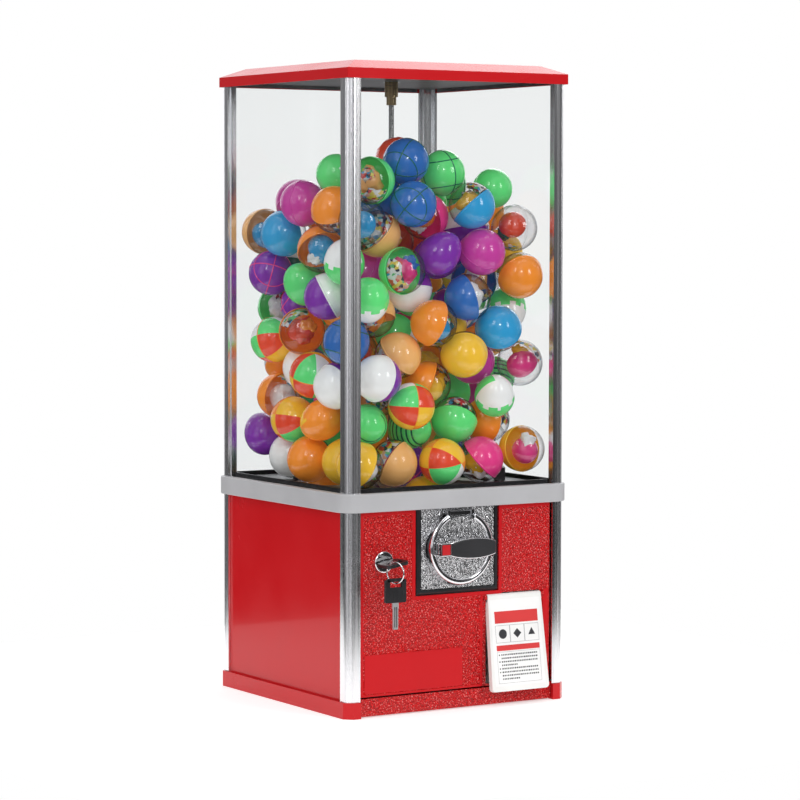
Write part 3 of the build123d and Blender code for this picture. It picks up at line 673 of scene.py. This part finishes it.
def segment_ball(builder, turn, place, colours):
    """A ball of six upright segments in turn."""
    first = len(builder.verts)
    for sign in (-1, 1):
        lathe_into(builder, dome(SHELL_RADIUS, sign), turn, place, colours[0])
    for face, middle in faces_since(builder, first, turn, place):
        around = math.atan2(middle.y, middle.x) / (2 * math.pi) + 0.5
        upper = 1 if middle.z > 0 else 0
        face.material_index = colours[(int(around * 6) + upper) % len(colours)]
    lathe_into(builder, rim_band(SHELL_RADIUS, 0.0005, 0.0002), turn, place, colours[0])


def toy_egg(builder, turn, place, size, material_index):
    """A smooth egg inside a clear shell."""
    lathe_into(builder, egg_profile(size, 0.80, 0.12, 12), turn, place, material_index)


def pack_contents(builder, turn, place, chance, index, slot):
    """A toy egg or a wad of paper, with a smaller folded wad beside it, filling most of the shell."""
    first = slot[chance.choice(["white", "peach", "sky", "yellow", "pink", "lime", "red", "orange"])]
    second = slot[chance.choice(["white", "orange", "blue", "white", "dark_green", "yellow"])]
    if chance.random() < 0.55:
        lean = turn @ Matrix.Rotation(chance.uniform(0.5, 1.4), 3, "X")
        toy_egg(builder, lean, place + turn @ Vector((0.003, 0, 0.0035)), CAPSULE_RADIUS * 0.70, first)
    else:
        wad = place + turn @ Vector((0, 0, 0.003))
        crumpled_into(builder, turn, wad, CAPSULE_RADIUS * 0.68, index, first)
    wad = place + turn @ Vector((-0.006, 0.003, 0.009))
    skin = chance.choice((second, slot["print"]))
    crumpled_into(builder, turn, wad, CAPSULE_RADIUS * 0.42, index + 500, skin)
    if chance.random() < 0.6:
        swung = turn @ Matrix.Rotation(chance.uniform(0, 2 * math.pi), 3, "Z")
        wide = chance.uniform(0.7, 1.5)
        high = chance.uniform(0.7, 1.1)
        paper_into(builder, swung, place, wide, 0.10, high, slot["print"])


def grooved_ball(builder, turn, place, colour, line):
    """A ball with raised ribs along two great circles and two side arcs."""
    radius = CAPSULE_RADIUS * 0.97
    lathe_into(builder, dome(radius, -1), turn, place, colour)
    lathe_into(builder, dome(radius, 1), turn, place, colour)
    for tip in (0.0, 90.0):
        lean = turn @ Matrix.Rotation(math.radians(tip), 3, "X")
        lathe_into(builder, rim_band(radius, 0.0006, 0.00025), lean, place, line)
    for side in (-1, 1):
        height = side * radius * 0.55
        wide = math.sqrt(radius ** 2 - height ** 2)
        sunk = wide * 0.985
        proud = wide + 0.0003
        points = [(sunk, height - 0.0006), (proud, height - 0.0004), (proud, height + 0.0004),
                  (sunk, height + 0.0006)]
        lathe_into(builder, points, turn @ Matrix.Rotation(math.radians(90), 3, "Y"), place, line)


def egg(builder, turn, place, colour, cap):
    """An egg whose narrow end is a cap of another colour with a zigzag edge."""
    first = len(builder.verts)
    lathe_into(builder, egg_profile(EGG_LENGTH, EGG_SHARE, 0.10, 18), turn, place, colour)
    for face, middle in faces_since(builder, first, turn, place):
        around = math.atan2(middle.y, middle.x)
        edge = 0.12 * EGG_LENGTH + 0.12 * EGG_LENGTH * math.sin(ZIGZAGS * around)
        if middle.z > edge and abs(around) < CAP_REACH:
            face.material_index = cap


# Style of capsule, its first and second colour, and how common it is.
STYLES = (
    ("snap", "orange", "clear", 12), ("snap", "yellow", "clear", 12), ("snap", "pink", "clear", 8),
    ("snap", "sky", "clear", 9), ("snap", "peach", "clear", 7), ("snap", "blue", "clear", 5),
    ("snap", "lime", "clear", 5), ("snap", "dark_green", "white", 7), ("snap", "purple", "white", 7),
    ("snap", "magenta", "magenta", 5), ("snap", "yellow", "yellow", 6), ("snap", "orange", "orange", 5),
    ("snap", "blue", "white", 3), ("ball", "red", "", 3), ("ball", "blue", "", 6), ("ball", "lime", "", 4),
    ("ball", "purple", "", 4), ("egg", "lime", "white", 10), ("egg", "lime", "lime", 5),
    ("ribbed", "lime", "dark_green", 7), ("ribbed", "sky", "blue", 3), ("segments", "lime", "white", 5),
    ("egg", "purple", "purple", 5), ("egg", "orange", "yellow", 4), ("snap", "clear", "clear", 7),
)
CAPSULE_SLOTS = ["clear", "print"] + list(CAPSULE_COLOURS)


def one_capsule(builder, place, chance, index):
    style, first, second, _ = chance.choices(STYLES, weights=[s[3] for s in STYLES])[0]
    turn = Euler([chance.uniform(0, 2 * math.pi) for _ in range(3)]).to_matrix()
    slot = {name: k for k, name in enumerate(CAPSULE_SLOTS)}
    if style == "snap":
        band = slot[first] if second == "clear" else slot[second]
        snap_capsule(builder, turn, place, slot[first], slot[second], band)
        if second == "clear":
            pack_contents(builder, turn, place, chance, index, slot)
    elif style == "ribbed":
        ribbed_egg(builder, turn, place, slot[first], slot[second])
    elif style == "segments":
        names = ("orange", "yellow", "red", first, second)
        segment_ball(builder, turn, place, [slot[name] for name in names])
    elif style == "ball":
        line = {"red": "red", "blue": "dark_green", "lime": "dark_green", "purple": "pink"}[first]
        grooved_ball(builder, turn, place, slot[first], slot[line])
    else:
        egg(builder, turn, place, slot[first], slot[second])


def make_capsules(node, body, seed):
    """All the capsules of one node, in pieces of a few capsules each."""
    middles = islands(node)
    chance = random.Random(seed)
    materials = [MATERIALS["capsule_" + name] for name in CAPSULE_SLOTS]
    for start in range(0, len(middles), CAPSULES_PER_PIECE):
        number = start // CAPSULES_PER_PIECE
        builder = bmesh.new()
        for index, middle in enumerate(middles[start:start + CAPSULES_PER_PIECE]):
            one_capsule(builder, Vector(middle), chance, seed * 1000 + start + index)
        mesh = bpy.data.meshes.new(f"{node}_{number}")
        builder.to_mesh(mesh)
        builder.free()
        thing = piece_from(f"{node}_set_{number}", mesh, body, materials)
        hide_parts(node)


make_capsules("capsules_warm", "cabinet", 5)
make_capsules("capsules_cool", "cabinet", 9)
make_capsules("pocket_capsules", "wheel", 3)


# ---------------------------------------------------------------- flap label

JOINTS = {joint["name"]: joint for joint in frame["record"]["behaviour"]["joints"]}
FLAP_LEAN = math.radians(-7.9)
LABEL_FACE = -3.2
LABEL_EDGE = 26
INK = 0.06
FIRST_LINE = -58.5
LINE_PITCH = 3.45
TEXT_LINES = 8
BULLETED_LINES = (0, 2, 4, 5)
SHORT_LINES = (3, 7)


def flap_mesh(builder, name):
    """Move a mesh drawn about the flap's pin, in millimetres, to the flap's place."""
    mesh = mesh_from(builder, name)
    place = Matrix.Translation(JOINTS["flap_swing"]["pos_m"]) @ Matrix.Rotation(FLAP_LEAN, 4, "X")
    mesh.transform(place @ Matrix.Scale(MM, 4))
    return mesh


def ink_box(builder, x0, x1, z0, z1, material_index):
    box_into(builder, (x0, LABEL_FACE - INK, z0), (x1, LABEL_FACE, z1), material_index)


def ink_frame(builder, x0, x1, z0, z1, line, material_index):
    ink_box(builder, x0, x1, z1 - line, z1, material_index)
    ink_box(builder, x0, x1, z0, z0 + line, material_index)
    ink_box(builder, x0, x0 + line, z0 + line, z1 - line, material_index)
    ink_box(builder, x1 - line, x1, z0 + line, z1 - line, material_index)


def ink_disc(builder, x, z, radius, material_index, sides):
    """A plain printed shape: a dot, a diamond or a triangle."""
    angles = [math.radians(90) + 2 * math.pi * k / sides for k in range(sides)]
    points = [(x + radius * math.cos(angle), z + radius * math.sin(angle)) for angle in angles]
    fronts = [builder.verts.new((px, LABEL_FACE - INK, pz)) for px, pz in points]
    face = builder.faces.new(fronts)
    face.material_index = material_index


def make_label():
    """A generic instruction sticker: bands, three blank picture boxes and rows of plain dashes."""
    builder = bmesh.new()
    ink_box(builder, -LABEL_EDGE, LABEL_EDGE, -27, -15, 0)
    ink_box(builder, -LABEL_EDGE, LABEL_EDGE, -54.5, -49, 0)
    for k in range(3):
        left = -LABEL_EDGE + k * 17.4
        ink_frame(builder, left, left + 17.2, -46.5, -29, 0.35, 1)
        ink_disc(builder, left + 8.6, -37.75, 4.8, 2, sides=(28, 4, 3)[k])
    ink_frame(builder, -LABEL_EDGE, LABEL_EDGE, -87, -55.5, 0.3, 1)
    chance = random.Random(4)
    row = FIRST_LINE
    for line in range(TEXT_LINES):
        if line in BULLETED_LINES:
            ink_box(builder, -24, -22.7, row - 0.65, row + 0.65, 2)
        x = -21.0
        end = -2 if line in SHORT_LINES else 22
        while x < end:
            width = chance.uniform(1.0, 1.9)
            ink_box(builder, x, x + width, row - 0.75, row + 0.75, 2)
            x += width + 0.8
        row -= LINE_PITCH
    mesh = flap_mesh(builder, "label_print")
    inks = [MATERIALS[name] for name in ("print_red", "print_grey", "print_black")]
    thing = piece_from("label_print", mesh, "flap", inks)


make_label()


# ---------------------------------------------------------------- coin mechanism front

AXIS = Vector(JOINTS["knob_turn"]["pos_m"])
PLATE_LOW, PLATE_HIGH = (Vector(corner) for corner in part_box("mech_faceplate"))
PLATE_FRONT = -0.1266
RING_INNER = 0.0308
RING_OUTER = 0.0370
RING_FRONT = -0.1356
# Degrees to each side of the top that the ring leaves open for the coin slot.
RING_GAP = 26
SLOT_HALF = 0.0155
HANDLE_BACK = -0.1364
HANDLE_FRONT = -0.1472


def arc_ring(builder, inner, outer, front, back, start, end, steps, material_index):
    """Part of a ring about the knob's axis, with a rounded front, from angle start to end in degrees."""
    width = outer - inner
    round_by = 0.0024
    section = [(inner, back), (inner, front + round_by)]
    for k in range(5):
        angle = math.radians(180 + 90 * k / 4)
        section.append((inner + round_by * (1 + math.cos(angle)), front + round_by * (1 + math.sin(angle))))
    for k in range(5):
        angle = math.radians(270 + 90 * k / 4)
        section.append((outer - round_by * (1 - math.cos(angle)), front + round_by * (1 + math.sin(angle))))
    section.append((outer + width * 0.35, back))
    rows = []
    for k in range(steps + 1):
        angle = math.radians(start + (end - start) * k / steps)
        rows.append([builder.verts.new((AXIS.x + r * math.cos(angle), y, AXIS.z + r * math.sin(angle)))
                     for r, y in section])
    count = len(section)
    for low, high in zip(rows, rows[1:]):
        for k in range(count):
            face = builder.faces.new([low[k], low[(k + 1) % count], high[(k + 1) % count], high[k]])
            face.material_index = material_index
            face.smooth = True
    for cap in (rows[0], rows[-1]):
        face = builder.faces.new(cap)
        face.material_index = material_index


def make_faceplate():
    builder = bmesh.new()
    low = (PLATE_LOW.x, PLATE_FRONT, PLATE_LOW.z)
    high = (PLATE_HIGH.x, PLATE_HIGH.y, PLATE_HIGH.z)
    box_into(builder, low, high, 0)
    arc_ring(builder, RING_INNER, RING_OUTER, RING_FRONT, PLATE_FRONT - 0.0001, 90 + RING_GAP, 450 - RING_GAP,
             96, 1)
    for side in (-1, 1):
        x = sorted((side * 0.0125, side * SLOT_HALF))
        box_into(builder, (x[0], -0.1325, AXIS.z + 0.0318), (x[1], PLATE_FRONT, AXIS.z + 0.0375), 1)
    for front, back in ((-0.1312, -0.1300), (-0.1276, -0.1268)):
        box_into(builder, (-SLOT_HALF, front, AXIS.z + 0.0320), (SLOT_HALF, back, AXIS.z + 0.0362), 1)
    mesh = mesh_from(builder, "faceplate_chrome")
    metals = [MATERIALS["chrome_pebble"], MATERIALS["chrome"]]
    thing = piece_from("faceplate_chrome", mesh, "cabinet", metals)
    add_bevel(thing, 0.0004, 2, 50)
    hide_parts("mech_faceplate")


def outline_bar(left, right, middle, end_half, middle_half):
    """Outline of the handle, bulging between its ends, as (x, z) about the knob's axis."""
    steps = 20

    def half_height(x):
        reach = (middle - left) if x < middle else (right - middle)
        share = 1 - ((x - middle) / reach) ** 2
        return end_half + (middle_half - end_half) * max(share, 0) ** 0.9

    xs = [left + (right - left) * k / steps for k in range(steps + 1)]
    return [(x, half_height(x)) for x in xs] + [(x, -half_height(x)) for x in reversed(xs)]


def outline_box(left, right, half):
    return [(left, half), (right, half), (right, -half), (left, -half)]


def extrude_into(builder, outline, front, back, material_index):
    """Extrude an (x, z) outline from the back plane to the front plane."""
    fronts = [builder.verts.new((x, front, z)) for x, z in outline]
    backs = [builder.verts.new((x, back, z)) for x, z in outline]
    faces = [builder.faces.new(fronts), builder.faces.new(list(reversed(backs)))]
    count = len(outline)
    for k in range(count):
        after = (k + 1) % count
        faces.append(builder.faces.new([fronts[k], backs[k], backs[after], fronts[after]]))
    for face in faces:
        face.material_index = material_index


def knob_piece(name, prisms, material, bevel, segments):
    """One piece of the handle, from (outline about the knob's axis, front, back) prisms."""
    builder = bmesh.new()
    for outline, front, back in prisms:
        placed = [(AXIS.x + x, AXIS.z + z) for x, z in outline]
        extrude_into(builder, placed, front, back, 0)
    thing = piece_from(name, mesh_from(builder, name), "knob", [MATERIALS[material]])
    add_bevel(thing, bevel, segments, 40)
    return thing


def make_handle():
    bar = outline_bar(-0.021, 0.032, 0.007, 0.0064, 0.0102)
    end = outline_box(-0.032, -0.0205, 0.0064)
    prisms = [(bar, HANDLE_FRONT, HANDLE_BACK), (end, HANDLE_FRONT + 0.0006, HANDLE_BACK)]
    handle = knob_piece("handle_chrome", prisms, "chrome", 0.0009, 3)
    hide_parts("knob_handle")

    bar = outline_bar(-0.0200, 0.0310, 0.007, 0.0054, 0.0092)
    prisms = [(bar, HANDLE_FRONT - 0.0008, HANDLE_FRONT + 0.0002)]
    face = knob_piece("handle_face_black", prisms, "black_satin", 0.0005, 3)
    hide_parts("handle_grip")

    prisms = [(outline_box(-0.0308, -0.0216, 0.0051), HANDLE_FRONT, HANDLE_FRONT + 0.0012)]
    inlay = knob_piece("handle_inlay_red", prisms, "red_inlay", 0.0004, 2)
    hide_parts("handle_marker")


make_faceplate()
make_handle()


# ---------------------------------------------------------------- spare key

def rounded_plate(builder, x0, x1, z0, z1, y0, y1, radius, material_index=0):
    """An upright plate with rounded corners, in the front plane."""
    steps = 5
    outline = []
    for cx, cz, first in ((x1 - radius, z1 - radius, 0), (x0 + radius, z1 - radius, 90),
                          (x0 + radius, z0 + radius, 180), (x1 - radius, z0 + radius, 270)):
        for k in range(steps + 1):
            angle = math.radians(first + 90 * k / steps)
            outline.append((cx + radius * math.cos(angle), cz + radius * math.sin(angle)))
    extrude_into(builder, outline, y0, y1, material_index)


def make_spare_key():
    low, high = (Vector(corner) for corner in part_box("spare_key"))
    middle = (low.x + high.x) / 2
    depth = (low.y + high.y) / 2
    top = high.z
    builder = bmesh.new()
    thick = 0.0016
    bow_low = top - 0.0238
    rounded_plate(builder, low.x, high.x, bow_low, top - 0.0088, depth - thick, depth + thick, 0.0012)
    for x0, x1 in ((low.x, low.x + 0.0052), (high.x - 0.0052, high.x)):
        rounded_plate(builder, x0, x1, top - 0.0092, top - 0.0012, depth - thick, depth + thick, 0.0008)
    rounded_plate(builder, low.x + 0.002, high.x - 0.002, top - 0.0034, top, depth - thick, depth + thick,
                  0.0014)
    for x in (-0.0075, -0.0025, 0.0025, 0.0075):
        rounded_plate(builder, middle + x - 0.0006, middle + x + 0.0006, bow_low + 0.003, bow_low + 0.0125,
                      depth - thick - 0.0003, depth - thick + 0.0002, 0.0005)
    mesh = mesh_from(builder, "spare_key_bow")
    bow = piece_from("spare_key_bow", mesh, "spare", [MATERIALS["black"]])
    add_bevel(bow, 0.0004, 2, 50)
    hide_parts("spare_key")

    builder = bmesh.new()
    half = 0.0034
    rounded_plate(builder, middle - half, middle + half, bow_low - 0.006, bow_low + 0.001, depth - 0.0009,
                  depth + 0.0009, 0.0008)
    rounded_plate(builder, middle - half * 0.8, middle + half * 0.8, low.z, bow_low - 0.0055, depth - 0.0009,
                  depth + 0.0009, 0.0014)
    # Painted shade: the blade's two grooves are thin black strips standing in for the shade inside the milled
    # grooves of the steel blade.
    for side in (-1, 1):
        x = middle + side * 0.0011
        rounded_plate(builder, x - 0.0004, x + 0.0004, low.z + 0.002, bow_low - 0.004, depth - 0.0011,
                      depth - 0.0008, 0.0003, 1)
    for k in range(5):
        z = low.z + 0.004 + k * 0.0034
        rounded_plate(builder, middle + half * 0.8 - 0.0005, middle + half * 0.8 + 0.0004, z, z + 0.0018,
                      depth - 0.0007, depth + 0.0007, 0.0003)
    metals = [MATERIALS["steel"], MATERIALS["black"]]
    blade = piece_from("spare_key_blade", mesh_from(builder, "spare_key_blade"), "spare", metals)


make_spare_key()


# ---------------------------------------------------------------- smooth borders of the door

DOOR_LOW, DOOR_HIGH = (Vector(corner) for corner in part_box("front_door"))
BORDER = 0.0038
PROUD = 0.00035
DOOR_FRONT = -0.126


def make_door_borders():
    """The smooth raised rim of the moulded door, round its edge, the mechanism and the outlet."""
    builder = bmesh.new()
    bezel_low, bezel_high = (Vector(corner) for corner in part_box("mech_bezel"))
    y = (DOOR_FRONT - PROUD, DOOR_FRONT + 0.0002)
    gap = 0.0012
    left = DOOR_LOW.x
    right = DOOR_HIGH.x - 0.0035
    top = DOOR_HIGH.z

    def strip(x0, x1, z0, z1):
        box_into(builder, (x0, y[0], z0), (x1, y[1], z1))

    strip(left, left + BORDER, DOOR_LOW.z, top)
    strip(left + BORDER, bezel_low.x - gap, top - BORDER, top)
    strip(bezel_high.x + gap, right, top - BORDER, top)
    strip(bezel_low.x - gap - BORDER, bezel_low.x - gap, bezel_low.z - gap, top - BORDER)
    strip(bezel_high.x + gap, bezel_high.x + gap + BORDER, bezel_low.z - gap, top - BORDER)
    under = bezel_low.z - gap
    strip(bezel_low.x - gap - BORDER, bezel_high.x + gap + BORDER, under - BORDER, under)
    strip(left + BORDER, 0.0300, DOOR_LOW.z, DOOR_LOW.z + 0.0022)
    strip(0.0275, 0.0302, DOOR_LOW.z + 0.0022, 0.1115)
    strip(0.1032, right, DOOR_LOW.z, 0.1135)
    mesh = mesh_from(builder, "door_borders")
    thing = piece_from("door_borders", mesh, "door", [MATERIALS["red_smooth"]])
    add_bevel(thing, 0.0003, 2, 50)


make_door_borders()
